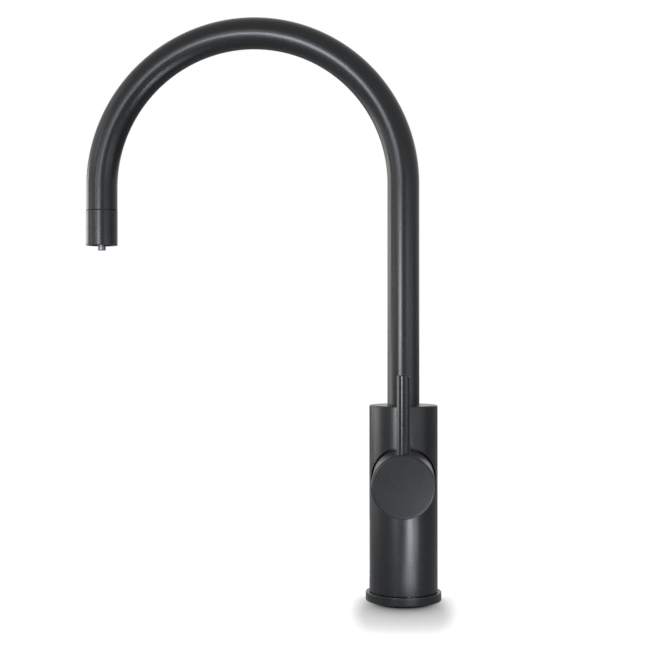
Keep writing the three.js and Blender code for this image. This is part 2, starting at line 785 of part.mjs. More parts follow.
// Ceramic disc with a kidney-shaped port over each of the three ways.
function fixedDisc() {
  const disc = roundShape(fixedDiscDiameter / 2);
  const [inner, outer] = [portCircle - portDiameter / 2, portCircle + portDiameter / 2];
  const halfAngle = portDiameter / outer;
  for (const angle of portAngles) {
    disc.holes.push(new THREE.Path()
      .absarc(0, 0, outer, angle - halfAngle, angle + halfAngle, false)
      .absarc(0, 0, inner, angle + halfAngle, angle - halfAngle, true));
  }
  return extruded(disc, fixedDiscLow, fixedDiscLow + fixedDiscThickness, 5);
}

const driveLugPlaces = [[0, driveLugOffset], [0, -driveLugOffset]];

// Ceramic disc that slides over the ports, with the mixing chamber in its face.
function movingDisc() {
  const high = movingDiscLow + movingDiscThickness;
  const lugHole = (place) =>
    upright(place, driveLugDiameter / 2 + clearance, high - driveLugHeight - clearance, high + 1);
  return cut(rod(movingDiscDiameter / 2, movingDiscLow, high, facetsInner), [
    rod(mixingChamberDiameter / 2, movingDiscLow - 1, movingDiscLow + mixingChamberDepth),
    ...driveLugPlaces.map(lugHole),
  ]);
}

// Plate between the spindle's ball and the moving disc, with flats for the guide rails.
function discCarrier() {
  const high = discCarrierLow + discCarrierThickness;
  const reach = discCarrierDiameter;
  const flats = block(-discCarrierFlats / 2, discCarrierFlats / 2, -reach, reach, discCarrierLow, high);
  const lug = (place) =>
    upright(place, driveLugDiameter / 2, discCarrierLow - clearance - driveLugHeight, discCarrierLow + 1);
  const plate = overlapOf(rod(discCarrierDiameter / 2, discCarrierLow, high, facetsInner), flats);
  const ballHole = rod(spindleBallDiameter / 2 + clearance, discCarrierLow - 1, high + 1);
  return cut(join([plate, ...driveLugPlaces.map(lug)]), [ballHole]);
}

// Rotor that the pivot pin crosses. Its rails turn the disc carrier and let it slide.
function turnCarrier() {
  const radius = housingBore - clearance;
  const railLow = discCarrierLow;
  const railInner = discCarrierFlats / 2 + clearance;
  const rail = (side) => {
    const edges = [side * railInner, side * (railInner + guideRailWidth)].sort((p, q) => p - q);
    const half = discCarrierDiameter / 2;
    return block(...edges, -half, half, railLow, turnCarrierLow + 1);
  };
  const tilt = radians(tiltRange);
  const swing = (turnCarrierThickness / 2) * Math.tan(tilt);
  const slotHalf = spindleHubDiameter / 2 / Math.cos(tilt) + swing + clearance;
  const slotSide = spindleHubDiameter / 2 + clearance;
  const slot = block(-slotSide, slotSide, -slotHalf, slotHalf, turnCarrierLow - 1, turnCarrierHigh + 1);
  const pinHole = rod(pivotPinDiameter / 2 + clearance, -housingDiameter, housingDiameter)
    .rotateY(quarterTurn).translate(0, 0, pivot);
  const hub = rod(radius, turnCarrierLow, turnCarrierHigh, facetsInner);
  return cut(join([hub, rail(-1), rail(1)]), [slot, pinHole]);
}

const pivotPin = () =>
  rod(pivotPinDiameter / 2, -pivotPinLength / 2, pivotPinLength / 2).rotateY(quarterTurn)
    .translate(0, 0, pivot);

const cartridgeHousing = () =>
  turned([
    [housingBore, fixedDiscLow],
    [housingRadius, fixedDiscLow],
    [housingRadius, housingHigh],
    [housingMouthDiameter / 2, housingHigh],
    [housingMouthDiameter / 2, housingHigh - housingTopWall],
    [housingBore, housingHigh - housingTopWall],
  ], facetsInner);

// Threaded ring that clamps the cartridge, with a hexagon inside for its key.
function retainingNut() {
  const nut = roundShape(bossBore - clearance);
  const hexRadius = nutAcrossFlats / 2 / Math.cos(Math.PI / 6);
  nut.holes.push(new THREE.Path(Array.from({ length: 6 }, (_, i) => {
    const angle = (Math.PI * i) / 3;
    return new THREE.Vector2(hexRadius * Math.cos(angle), hexRadius * Math.sin(angle));
  })));
  return extruded(nut, nutLow, nutHigh, 16);
}

// ---------------------------------------------------------------- lever (mixer's frame)

// Fixed barrel, saddled on the column. In the mixer's frame the column's axis lies along Y.
function leverBoss() {
  const root = pocketFloor / 2;
  const seat = bodyRadius + clearance;
  const barrel = turned([
    [bossBore, root],
    [bossRadius, root],
    ...arcOnBall(domeRadius, bossRadius, bossBore, 2),
  ], facetsRound);
  return cut(barrel, [new THREE.CylinderGeometry(seat, seat, 2 * bodyDiameter, facetsRound)]);
}

// The way that the spindle needs through the dome: a fan from the middle, on the side it tips to.
function spindleFan() {
  const half = spindleRadius + slotMargin;
  const reach = domeRadius * Math.sin(radians(tiltRange));
  const turn = radians(turnEachWay);
  const [leftWay, rightWay] = [3 * quarterTurn - turn, 3 * quarterTurn + turn];
  const centre = (way) => [reach * Math.cos(way), reach * Math.sin(way)];
  const fan = new THREE.Shape()
    .absarc(0, 0, half, turn, 2 * quarterTurn - turn, false)
    .absarc(...centre(leftWay), half, leftWay - quarterTurn, leftWay, false)
    .absarc(0, 0, reach + half, leftWay, rightWay, false)
    .absarc(...centre(rightWay), half, rightWay, rightWay + quarterTurn, false);
  return extruded(fan, nutHigh, faceDistance, 4);
}

// Domed cover in the barrel's mouth. The knob's hollow back rides over it.
function domeCover() {
  const outer = bossBore - clearance;
  const inner = outer - domeSkirtWall;
  const foot = nutHigh + clearance;
  const cap = turned([
    ...arcOnBall(domeRadius, 0, outer, 4),
    [outer, foot],
    [inner, foot],
    ...arcOnBall(domeRadius - domeWall, inner, 0, 4),
  ], facetsInner);
  return cut(cap, [spindleFan()]);
}

// Lever's stem: ball in the disc carrier, hub on the pivot pin, shaft up to the knob. The shaft starts
// where it still clears the turn carrier with the lever tipped all the way.
function spindle() {
  const ball = spindleBallDiameter / 2;
  const stem = spindleStemDiameter / 2;
  const hub = spindleHubDiameter / 2;
  const tilt = radians(tiltRange);
  const carrierTop = turnCarrierHigh + clearance - pivot;
  const shaftLow = pivot + (carrierTop + spindleRadius * Math.sin(tilt)) / Math.cos(tilt);
  const ballSteps = 4;
  const neckAngle = Math.PI - Math.asin(stem / ball);
  const ballArc = Array.from({ length: ballSteps + 1 }, (_, i) => {
    const angle = (neckAngle * i) / ballSteps;
    return [ball * Math.sin(angle), ballPlace - ball * Math.cos(angle)];
  });
  const shaft = turned([
    ...ballArc,
    [stem, pivot - hub],
    [hub, pivot - stem],
    [hub, shaftLow + hub - spindleRadius],
    [spindleRadius, shaftLow],
    [spindleRadius, spindleEnd],
    [0, spindleEnd],
  ], 16);
  const pinHole = rod(pivotPinDiameter / 2 + clearance, -spindleDiameter, spindleDiameter)
    .rotateY(quarterTurn).translate(0, 0, pivot);
  const flat = block(
    -spindleDiameter, spindleDiameter,
    -spindleDiameter, spindleFlatDepth - spindleRadius,
    spindleEnd - spindleFlatLength, spindleEnd + 1,
  );
  return cut(shaft, [pinHole, flat]);
}

// A hole or pin that stands in the knob, along the lever's own up.
const radial = (radius, low, high, place, facets = 16) =>
  rod(radius, low, high, facets).rotateX(-quarterTurn).translate(0, 0, place);

const leverPinFoot = bossRadius - leverPinSink;

// Knob with a hollow ball-shaped back, the spindle's socket and the lever pin's socket.
function leverKnob() {
  const knob = turned([
    ...arcOnBall(knobHollow, 0, bossRadius, 5),
    [bossRadius, faceDistance - faceChamfer],
    [bossRadius - faceChamfer, faceDistance],
    [0, faceDistance],
  ], facetsRound);
  const hubSocket = rod(spindleRadius + clearance, pivot, faceDistance - faceWall, 16);
  const pinSocket = radial(
    leverPinDiameter / 2 + clearance, leverPinFoot - clearance, bossDiameter, leverPinPlace,
  );
  const spigotSocket = radial(
    leverSpigotDiameter / 2 + clearance,
    leverPinFoot - leverSpigotLength - clearance, bossRadius, leverPinPlace, 12,
  );
  const screwHole = radial(knobScrewDiameter / 2 + clearance, -bossDiameter, 0, knobScrewPlace);
  return cut(knob, [hubSocket, pinSocket, spigotSocket, screwHole]);
}

function knobScrew() {
  const tip = spindleFlatDepth - spindleRadius - clearance;
  const end = tip - knobScrewLength;
  const keySocket = radial(knobScrewDiameter / 4, end - 1, end + knobScrewDiameter / 2, knobScrewPlace, 6);
  return cut(radial(knobScrewDiameter / 2, end, tip, knobScrewPlace), [keySocket]);
}

// Slim lever that stands up from the knob, with a threaded spigot at its foot.
function leverPin() {
  const [outer, spigot] = [leverPinDiameter / 2, leverSpigotDiameter / 2];
  const top = bossRadius + leverPinRise;
  return turned([
    [0, leverPinFoot - leverSpigotLength],
    [spigot, leverPinFoot - leverSpigotLength],
    [spigot, leverPinFoot],
    [outer, leverPinFoot],
    [outer, top - leverPinChamfer],
    [outer - leverPinChamfer, top],
    [0, top],
  ], 20).rotateX(-quarterTurn).translate(0, 0, leverPinPlace);
}

// ---------------------------------------------------------------- assembly

const tap = new THREE.Group();

addPiece(tap, 'base_plate', basePlate(), steel);
addPiece(tap, 'cable_grommet', cableGrommet(), blackRubber);
for (const [side, place] of Object.entries(baseScrews)) {
  addPiece(tap, `base_screw_${side}`, baseScrew(place), steel);
}
addPiece(tap, 'base_flange', baseFlange(), satinBlack);
addPiece(tap, 'base_gasket', baseGasket(), blackRubber);
addPiece(tap, 'body_shell', bodyShell(), satinBlack);
addPiece(tap, 'water_core', waterCore(), brass);
addPiece(tap, 'boiling_seal', boilingSeal(), blackRubber);
addPiece(tap, 'bearing_ring', bearingRing(), whiteBearing);
addPiece(tap, 'thrust_washer', thrustWasher(), whiteBearing);
addPiece(tap, 'stop_screw', stopScrew(), steel);
addPiece(tap, 'touch_panel', touchPanel(), darkPanel);
addPiece(tap, 'touch_board', touchBoard(), boardGreen);
addPiece(tap, 'light_guide', lightGuide(), clearPlastic);

const spout = new THREE.Group();
spout.rotation.z = -radians(restSwing);
tap.add(spout);
const outlet = new THREE.Group();
outlet.position.x = -2 * archRadius;
spout.add(outlet);

addPiece(spout, 'spout_tube', spoutTube(), satinBlack);
addPiece(spout, 'boiling_tube', boilingTube(), steel);
addPiece(spout, 'spout_ferrule', spoutFerrule(), brass);
addPiece(spout, 'ferrule_ring_lower', ferruleRing(grooveHeights[0]), blackRubber);
addPiece(spout, 'ferrule_ring_upper', ferruleRing(grooveHeights[1]), blackRubber);
addPiece(outlet, 'end_fitting', endFitting(), satinBlack);
addPiece(outlet, 'outlet_collar', outletCollar(), satinBlack);
addPiece(outlet, 'outlet_washer', outletWasher(), blackRubber);
addPiece(outlet, 'aerator_body', aeratorBody(), greyPlastic);
addPiece(outlet, 'boiling_nozzle', boilingNozzle(), steel);

const mixer = new THREE.Group();
mixer.position.z = mixerHeight;
mixer.rotation.x = quarterTurn;
tap.add(mixer);

addPiece(mixer, 'port_seal', portSeal(), blackRubber);
addPiece(mixer, 'cartridge_base', cartridgeBase(), greyPlastic);
addPiece(mixer, 'fixed_disc', fixedDisc(), whiteCeramic);
addPiece(mixer, 'moving_disc', movingDisc(), whiteCeramic);
addPiece(mixer, 'disc_carrier', discCarrier(), greyPlastic);
addPiece(mixer, 'turn_carrier', turnCarrier(), greyPlastic);
addPiece(mixer, 'pivot_pin', pivotPin(), steel);
addPiece(mixer, 'cartridge_housing', cartridgeHousing(), greyPlastic);
addPiece(mixer, 'retaining_nut', retainingNut(), brass);
addPiece(mixer, 'lever_boss', leverBoss(), satinBlack);
addPiece(mixer, 'dome_cover', domeCover(), satinBlack);
addPiece(mixer, 'spindle', spindle(), steel);
addPiece(mixer, 'lever_knob', leverKnob(), satinBlack);
addPiece(mixer, 'knob_screw', knobScrew(), steel);
addPiece(mixer, 'lever_pin', leverPin(), satinBlack);

export default tap;
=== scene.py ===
"""Looks of the boiling water tap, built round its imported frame.

Metres, +Z up, the spout towards -X and the lever at -Y."""

import json
import math

import bmesh
import bpy
from mathutils import Matrix, Vector


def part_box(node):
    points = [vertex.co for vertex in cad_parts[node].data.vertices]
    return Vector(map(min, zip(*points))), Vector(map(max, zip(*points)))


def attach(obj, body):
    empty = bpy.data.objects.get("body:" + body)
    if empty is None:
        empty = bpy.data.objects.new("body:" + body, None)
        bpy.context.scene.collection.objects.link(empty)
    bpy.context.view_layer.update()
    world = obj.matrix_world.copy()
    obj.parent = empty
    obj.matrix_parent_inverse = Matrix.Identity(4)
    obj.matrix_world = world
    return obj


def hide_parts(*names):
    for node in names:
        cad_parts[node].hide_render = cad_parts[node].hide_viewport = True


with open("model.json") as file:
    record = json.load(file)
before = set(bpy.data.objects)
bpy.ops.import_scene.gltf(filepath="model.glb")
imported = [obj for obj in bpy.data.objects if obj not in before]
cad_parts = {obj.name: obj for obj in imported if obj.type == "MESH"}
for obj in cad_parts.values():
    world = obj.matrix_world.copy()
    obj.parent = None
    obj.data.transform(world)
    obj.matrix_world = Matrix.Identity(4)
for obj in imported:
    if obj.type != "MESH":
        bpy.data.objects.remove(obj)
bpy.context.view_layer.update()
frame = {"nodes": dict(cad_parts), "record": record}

MM = 0.001

# ------------------------------------------------------------------ camera and studio

CAMERA_PLACE = (0.0, -0.9438, 0.1894)
CAMERA_PITCH = math.pi / 2 + 0.005
CAMERA_YAW = 0.0593
LENS = 74.3
SENSOR = 36.0

FLOOR_HALF = 40.0
FLOOR_DROP = 0.1 * MM
FLOOR_PALE = (0.93, 0.93, 0.93)
FLOOR_LIT = 0.15
# Painted floor shadow: ambient occlusion tilted backwards, kept to an oval spot in front of the foot.
SHADOW_REACH = 0.09
SHADOW_TILT = math.radians(12)
SHADOW_FOOT = 0.47
SHADOW_HALF_WIDTH = 0.042
SHADOW_HALF_LENGTH = 0.12
SHADOW_FORWARD = 0.03
SHADOW_CORE = 0.28
SHADOW_SAMPLES = 24
AMBIENT = 0.25
WHITE = (1.0, 1.0, 1.0)
COOL = (0.93, 1.0, 1.08)

# Softboxes: azimuth is from the camera's side, positive to the right, and both angles are in degrees.
LIGHT_CENTRE = Vector((-0.06, 0.0, 0.2))
LIGHT_DISTANCE = 1.0
# name, azimuth, elevation, width, height, radiance, colour (white where none is given)
SOFTBOXES = [
    ("key", -18, 2, 0.20, 0.18, 38.0, COOL),
    ("key_low", -24, -5, 0.14, 0.10, 38.0, COOL),
    ("key_side", -27, 3, 0.14, 0.16, 10.0, COOL),
    ("key_high", -16, 20, 0.14, 0.155, 7.0, COOL),
    ("left_key", -40, 11, 0.14, 0.155, 10.5, COOL),
    ("left_front", -60, 2, 0.28, 0.155, 3.2),
    ("left_front_high", -62, 20, 0.24, 0.155, 4.0),
    ("left_side_high", -84, 28, 0.55, 0.40, 1.0),
    ("left_side", -76, 3, 0.22, 0.30, 2.8),
    ("left_low", -100, -6, 0.60, 0.14, 5.6),
    ("left_back", -110, 8, 0.30, 0.25, 5.5),
    ("left_far", -130, 2, 0.30, 0.36, 2.5),
    ("right_front", 31, 3, 0.35, 0.20, 4.0, COOL),
    ("right", 50, -1, 0.30, 0.25, 2.4, COOL),
    ("right_side", 66, -2, 0.35, 0.25, 1.5, COOL),
]
# Low ones, standing just above the floor: name, azimuth, width, height, radiance, distance
STRIP_CENTRE = Vector((0.0, -0.02, 0.0235))
LOW_STRIPS = [
    ("low_front", 9, 0.05, 0.04, 6.0, 0.3),
    ("low_front_right", 22, 0.085, 0.045, 32.0, 0.3),
    ("low_right", 40, 0.07, 0.035, 10.0, 0.2),
]
# One almost flat on the floor in front, facing up: name, azimuth, elevation, width, length, radiance
FLOOR_PANEL = ("floor_front_right", 22, -89, 0.08, 0.24, 6.0)
FLOOR_PANEL_AIM = Vector((0.066, -0.19, 0.0125))
FLOOR_PANEL_DISTANCE = 0.01


def make_camera():
    data = bpy.data.cameras.new("camera")
    data.lens = LENS
    data.sensor_width = SENSOR
    camera = bpy.data.objects.new("camera", data)
    camera.location = CAMERA_PLACE
    camera.rotation_euler = (CAMERA_PITCH, 0, CAMERA_YAW)
    bpy.context.scene.collection.objects.link(camera)
    bpy.context.scene.camera = camera


def seen_directly(nodes, links):
    """1 for rays that show the surroundings themselves, 0 for rays that carry light."""
    path = nodes.new("ShaderNodeLightPath")
    total = path.outputs["Is Camera Ray"]
    for name in ("Is Glossy Ray", "Is Transmission Ray"):
        larger = nodes.new("ShaderNodeMath")
        larger.operation = "MAXIMUM"
        links.new(total, larger.inputs[0])
        links.new(path.outputs[name], larger.inputs[1])
        total = larger.outputs[0]
    return total


def make_world():
    world = bpy.data.worlds.new("studio")
    bpy.context.scene.world = world
    world.use_nodes = True
    nodes, links = world.node_tree.nodes, world.node_tree.links
    nodes.clear()
    ambient = nodes.new("ShaderNodeBackground")
    ambient.inputs["Color"].default_value = (*WHITE, 1)
    ambient.inputs["Strength"].default_value = AMBIENT
    backdrop = nodes.new("ShaderNodeBackground")
    backdrop.inputs["Color"].default_value = (*WHITE, 1)
    backdrop.inputs["Strength"].default_value = 1.0
    mix = nodes.new("ShaderNodeMixShader")
    output = nodes.new("ShaderNodeOutputWorld")
    links.new(seen_directly(nodes, links), mix.inputs["Fac"])
    links.new(ambient.outputs[0], mix.inputs[1])
    links.new(backdrop.outputs[0], mix.inputs[2])
    links.new(mix.outputs[0], output.inputs["Surface"])


def link_painted_shadow(nodes, links):
    """Painted shadow on the floor: 1 on open floor, down to 0 in front of the object's foot. Ambient
    occlusion that looks back and up stands in for light from behind, and it is kept to an oval spot just in
    front of the foot; no lamp casts it.
    """
    painted_openness = nodes.new("ShaderNodeAmbientOcclusion")
    painted_openness.samples = SHADOW_SAMPLES
    painted_openness.inputs["Distance"].default_value = SHADOW_REACH
    backward = nodes.new("ShaderNodeCombineXYZ")
    backward.inputs["Y"].default_value = math.cos(SHADOW_TILT)
    backward.inputs["Z"].default_value = math.sin(SHADOW_TILT)
    links.new(backward.outputs[0], painted_openness.inputs["Normal"])
    spread = nodes.new("ShaderNodeMapRange")
    spread.inputs["From Min"].default_value = SHADOW_FOOT
    spread.inputs["From Max"].default_value = 1.0
    links.new(painted_openness.outputs["AO"], spread.inputs["Value"])

    # The painted shadow is kept inside an oval spot just in front of the foot.
    shadow_spot = nodes.new("ShaderNodeVectorMath")
    shadow_spot.operation = "MULTIPLY_ADD"
    links.new(nodes.new("ShaderNodeTexCoord").outputs["Object"], shadow_spot.inputs[0])
    shadow_spot.inputs[1].default_value = (1 / SHADOW_HALF_WIDTH, 1 / SHADOW_HALF_LENGTH, 0)
    shadow_spot.inputs[2].default_value = (0, SHADOW_FORWARD / SHADOW_HALF_LENGTH, 0)
    away = nodes.new("ShaderNodeVectorMath")
    away.operation = "LENGTH"
    links.new(shadow_spot.outputs[0], away.inputs[0])
    fade = nodes.new("ShaderNodeMapRange")
    fade.interpolation_type = "SMOOTHSTEP"
    fade.inputs["From Min"].default_value = SHADOW_CORE
    fade.inputs["From Max"].default_value = 1.0
    links.new(away.outputs["Value"], fade.inputs["Value"])
    opened = nodes.new("ShaderNodeMath")
    opened.operation = "MAXIMUM"
    links.new(spread.outputs["Result"], opened.inputs[0])
    links.new(fade.outputs["Result"], opened.inputs[1])
    return opened.outputs[0]


def make_floor():
    """Pale floor. To the camera it glows white where it is open and darker towards the foot of the object: a
    painted shadow in its glow and in the colour of its lit part.
    """
    mesh = bpy.data.meshes.new("floor")
    side = FLOOR_HALF
    corners = [(-side, -side, 0), (side, -side, 0), (side, side, 0), (-side, side, 0)]
    mesh.from_pydata(corners, [], [(0, 1, 2, 3)])
    floor = bpy.data.objects.new("floor", mesh)
    floor.location.z = -FLOOR_DROP
    bpy.context.scene.collection.objects.link(floor)
    material = bpy.data.materials.new("pale_floor")
    material.use_nodes = True
    nodes, links = material.node_tree.nodes, material.node_tree.links
    nodes.clear()
    pale = nodes.new("ShaderNodeBsdfDiffuse")
    pale.inputs["Color"].default_value = (*FLOOR_PALE, 1)
    # Painted shadow: the floor's glow and lit colour, as the camera sees them, are both scaled by it.
    painted_openness = link_painted_shadow(nodes, links)
    painted_shadow_glow = nodes.new("ShaderNodeEmission")
    links.new(painted_openness, painted_shadow_glow.inputs["Strength"])
    lit = nodes.new("ShaderNodeBsdfDiffuse")
    dimmed = nodes.new("ShaderNodeMath")
    dimmed.operation = "MULTIPLY"
    dimmed.inputs[1].default_value = FLOOR_LIT
    links.new(painted_openness, dimmed.inputs[0])
    links.new(dimmed.outputs[0], lit.inputs["Color"])
    seen = nodes.new("ShaderNodeAddShader")
    links.new(painted_shadow_glow.outputs[0], seen.inputs[0])
    links.new(lit.outputs[0], seen.inputs[1])
    mix = nodes.new("ShaderNodeMixShader")
    output = nodes.new("ShaderNodeOutputMaterial")
    links.new(nodes.new("ShaderNodeLightPath").outputs["Is Camera Ray"], mix.inputs["Fac"])
    links.new(pale.outputs[0], mix.inputs[1])
    links.new(seen.outputs[0], mix.inputs[2])
    links.new(mix.outputs[0], output.inputs["Surface"])
    mesh.materials.append(material)


def softbox(name, azimuth, elevation, width, height, radiance, colour=WHITE,
            distance=LIGHT_DISTANCE, centre=LIGHT_CENTRE):
    """A lit panel that faces a point from a distance, and that the camera doesn't see."""
    data = bpy.data.lights.new(name, "AREA")
    data.shape = "RECTANGLE"
    data.size = width
    data.size_y = height
    data.energy = radiance * math.pi * width * height
    data.color = colour
    lamp = bpy.data.objects.new(name, data)
    turn, rise = math.radians(azimuth), math.radians(elevation)
    away = Vector((math.sin(turn) * math.cos(rise), -math.cos(turn) * math.cos(rise), math.sin(rise)))
    lamp.location = centre + away * distance
    lamp.rotation_euler = away.to_track_quat("Z", "Y").to_euler()
    lamp.visible_camera = False
    bpy.context.scene.collection.objects.link(lamp)


def make_lights():
    for box in SOFTBOXES:
        softbox(*box)
    for name, azimuth, width, height, radiance, distance in LOW_STRIPS:
        softbox(name, azimuth, 0, width, height, radiance, COOL, distance, STRIP_CENTRE)
    softbox(*FLOOR_PANEL, COOL, FLOOR_PANEL_DISTANCE, FLOOR_PANEL_AIM)


# ------------------------------------------------------------------ materials

TONE_SCALE = 60.0
PATCH_SCALE = 140.0
NOISE_LOW = 0.3
NOISE_HIGH = 0.7
TURNED = (0.15, 0.15, 1.0)
SATIN = (0.0050, 0.0051, 0.0055)

LOOKS = {
    "satin_black": dict(
        colour=SATIN, roughness=0.28, specular=0.28, patch=0.01,
        grain=0.5 * MM, grain_depth=0.0002 * MM),
    "polished_black": dict(
        colour=SATIN, roughness=0.20, specular=0.3, patch=0.005,
        grain=0.5 * MM, grain_depth=0.0002 * MM),
    "panel_black": dict(
        colour=(0.006, 0.0061, 0.0067), roughness=0.14, specular=0.4, grain_depth=0.0003 * MM),
    "print_white": dict(colour=(0.62, 0.62, 0.61), roughness=0.5, grain=0.1 * MM, grain_depth=0.002 * MM),
    "brass_core": dict(colour=(0.62, 0.47, 0.22), roughness=0.32, metallic=1.0, streaks=TURNED),
    "stainless": dict(colour=(0.56, 0.56, 0.57), roughness=0.26, metallic=1.0, streaks=TURNED),
    "nozzle_steel": dict(colour=(0.11, 0.11, 0.114), roughness=0.42, metallic=1.0, streaks=TURNED),
    "black_rubber": dict(
        colour=(0.018, 0.018, 0.018), roughness=0.75, specular=0.3, grain_depth=0.01 * MM),
    "bearing_plastic": dict(colour=(0.72, 0.71, 0.67), roughness=0.5, grain_depth=0.008 * MM),
    "grey_plastic": dict(colour=(0.14, 0.147, 0.155), roughness=0.45, grain_depth=0.008 * MM),
    "clear_plastic": dict(colour=(0.72, 0.76, 0.78), roughness=0.2, grain_depth=0.002 * MM),
    "circuit_board": dict(colour=(0.02, 0.14, 0.06), roughness=0.4, tone=0.3, grain=1.0 * MM),
    "disc_ceramic": dict(colour=(0.85, 0.83, 0.78), roughness=0.12, tone=0.03, grain_depth=0.001 * MM),
}


def link_noise(nodes, links, place, scale, detail=3.0):
    noise = nodes.new("ShaderNodeTexNoise")
    noise.inputs["Scale"].default_value = scale
    noise.inputs["Detail"].default_value = detail
    links.new(place, noise.inputs["Vector"])
    return noise.outputs["Fac"]


def link_range(nodes, links, value, low, high):
    """The noise's middle spread over low to high."""
    spread = nodes.new("ShaderNodeMapRange")
    spread.inputs["From Min"].default_value = NOISE_LOW
    spread.inputs["From Max"].default_value = NOISE_HIGH
    spread.inputs["To Min"].default_value = low
    spread.inputs["To Max"].default_value = high
    links.new(value, spread.inputs["Value"])
    return spread.outputs["Result"]


def surface(name, colour, roughness, metallic=0.0, specular=0.5, tone=0.1, patch=0.03,
            grain=0.3 * MM, grain_depth=0.004 * MM, streaks=None):
    """A procedural finish: tone varies the colour, patch the roughness, grain is the bump's feature size.
    Streaks scale the bump's place along each axis: below 1 they draw the grain out, as turning does."""
    material = bpy.data.materials.new(name)
    material.use_nodes = True
    nodes, links = material.node_tree.nodes, material.node_tree.links
    shader = nodes["Principled BSDF"]
    shader.inputs["Metallic"].default_value = metallic
    shader.inputs["Specular IOR Level"].default_value = specular
    place = nodes.new("ShaderNodeTexCoord").outputs["Object"]

    shade = nodes.new("ShaderNodeMix")
    shade.data_type = "RGBA"
    shade.inputs["A"].default_value = (*[c * (1 - tone) for c in colour], 1)
    shade.inputs["B"].default_value = (*[c * (1 + tone) for c in colour], 1)
    broad = link_noise(nodes, links, place, TONE_SCALE)
    links.new(link_range(nodes, links, broad, 0.0, 1.0), shade.inputs["Factor"])
    links.new(shade.outputs["Result"], shader.inputs["Base Color"])

    cloud = link_noise(nodes, links, place, PATCH_SCALE)
    rough = link_range(nodes, links, cloud, roughness - patch, roughness + patch)
    links.new(rough, shader.inputs["Roughness"])

    fine_place = place
    if streaks:
        squeeze = nodes.new("ShaderNodeMapping")
        squeeze.inputs["Scale"].default_value = streaks
        links.new(place, squeeze.inputs["Vector"])
        fine_place = squeeze.outputs["Vector"]
    bump = nodes.new("ShaderNodeBump")
    bump.inputs["Strength"].default_value = 1.0
    bump.inputs["Distance"].default_value = grain_depth
    links.new(link_noise(nodes, links, fine_place, 1 / grain, detail=2.0), bump.inputs["Height"])
    links.new(bump.outputs["Normal"], shader.inputs["Normal"])
    return material


finishes = {name: surface(name, **look) for name, look in LOOKS.items()}

# ------------------------------------------------------------------ mesh tools

SEGMENTS = 192
SEGMENTS_LARGE = 256
SEGMENTS_WINDOW = 512
SEGMENTS_OUTLET = 128
SEGMENTS_TUBE = 96
SEGMENTS_SMALL = 64
SEGMENTS_SCREW = 48
HEXAGON_SIDES = 6
SHARP = math.radians(32)
SUPPORT = 0.5
SUPPORT_ROOM = 3
ON_AXIS = 1e-9
OVERRUN = 1 * MM


def rounded(corners, steps=4):
    """A closed outline of (radius, height, fillet) corners. Each fillet is an arc, and a support point
    beyond each of its ends, at a share of the fillet, keeps long flats flat under smooth shading."""
    points = []
    for i, (radius, height, fillet) in enumerate(corners):
        corner = Vector((radius, height))
        if fillet <= 0:
            points.append(corner)
            continue
        back = Vector(corners[i - 1][:2]) - corner
        ahead = Vector(corners[(i + 1) % len(corners)][:2]) - corner
        half = back.angle(ahead) / 2
        reach = fillet / math.tan(half)
        u, v = back.normalized(), ahead.normalized()
        centre = corner + (u + v).normalized() * (fillet / math.sin(half))
        start, end = corner + u * reach - centre, corner + v * reach - centre
        sweep = math.pi - 2 * half
        if back.length > SUPPORT_ROOM * reach:
            points.append(corner + u * (reach + SUPPORT * fillet))
        for k in range(steps + 1):
            t = k / steps
            spoke = start * math.sin((1 - t) * sweep) + end * math.sin(t * sweep)
            points.append(centre + spoke / math.sin(sweep))
        if ahead.length > SUPPORT_ROOM * reach:
            points.append(corner + v * (reach + SUPPORT * fillet))
    return [(p.x, p.y) for p in points]


def stepped(points, longest):
    """The outline with its long runs divided into steps no longer than that."""
    made = []
    for (r, z), (next_r, next_z) in zip(points, points[1:] + points[:1]):
        made.append((r, z))
        count = math.ceil(math.hypot(next_r - r, next_z - z) / longest)
        for k in range(1, count):
            made.append((r + (next_r - r) * k / count, z + (next_z - z) * k / count))
    return made


def revolved(outline, segments=SEGMENTS):
    """A closed body turned about Z. Its outline is a list of (radius, height), or a function of the angle
    that gives one."""
    outline_at = outline if callable(outline) else lambda angle: outline
    bm = bmesh.new()
    angles = [2 * math.pi * j / segments for j in range(segments)]
    columns = [outline_at(a) for a in angles]
    rings = []
    for i in range(len(columns[0])):
        if columns[0][i][0] < ON_AXIS:
            rings.append([bm.verts.new((0, 0, columns[0][i][1]))])
            continue
        rings.append([bm.verts.new((c[i][0] * math.cos(a), c[i][0] * math.sin(a), c[i][1]))
                      for a, c in zip(angles, columns)])
    for lower, upper in zip(rings, rings[1:] + rings[:1]):
        for j in range(segments):
            k = (j + 1) % segments
            below = [lower[j % len(lower)], lower[k % len(lower)]]
            above = [upper[k % len(upper)], upper[j % len(upper)]]
            distinct = list(dict.fromkeys(below + above))
            if len(distinct) > 2:
                bm.faces.new(distinct)
    return bm


def extruded(points, low, high):
    """A closed outline of (x, y) points raised from low to high."""
    bm = bmesh.new()
    below = [bm.verts.new((x, y, low)) for x, y in points]
    above = [bm.verts.new((x, y, high)) for x, y in points]
    bm.faces.new(below)
    bm.faces.new(above)
    for i in range(len(points)):
        j = (i + 1) % len(points)
        bm.faces.new([below[i], below[j], above[j], above[i]])
    return bm


def cylinder(x, y, radius, low, high, count=SEGMENTS_SMALL):
    turns = [2 * math.pi * k / count for k in range(count)]
    return extruded([(x + radius * math.cos(t), y + radius * math.sin(t)) for t in turns], low, high)


def arc(x, y, radius, start, end, steps):
    """Points on an arc, in degrees."""
    turns = [math.radians(start + (end - start) * k / steps) for k in range(steps + 1)]
    return [(x + radius * math.cos(t), y + radius * math.sin(t)) for t in turns]


